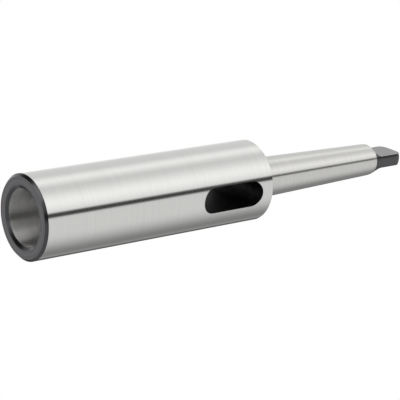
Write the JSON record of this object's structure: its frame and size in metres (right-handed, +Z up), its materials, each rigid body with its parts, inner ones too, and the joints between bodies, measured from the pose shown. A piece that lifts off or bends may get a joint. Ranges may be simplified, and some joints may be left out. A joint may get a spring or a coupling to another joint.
{
  "type": "morse taper sleeve",
  "caption": "One-piece extension sleeve: tapered shank with a flatted tang, plain round body with a tapered socket and a drift slot through it.",
  "frame": {"origin": "centre of the socket face, where the tapered socket opens; the sleeve stands on this face", "axes": "+Z up the sleeve's axis from the socket face to the end of the tang; the drift slot runs through along Y; the flats of the tang face +X and -X"},
  "size_m": [0.036, 0.036, 0.2062],
  "materials": {
    "ground_steel": "cylindrically ground bright on the body, shank and their edges; dark from hardening on the socket face, mouth, slot and tang"
  },
  "bodies": {
    "root": {"sleeve": "ground_steel"}
  },
  "joints": []
}
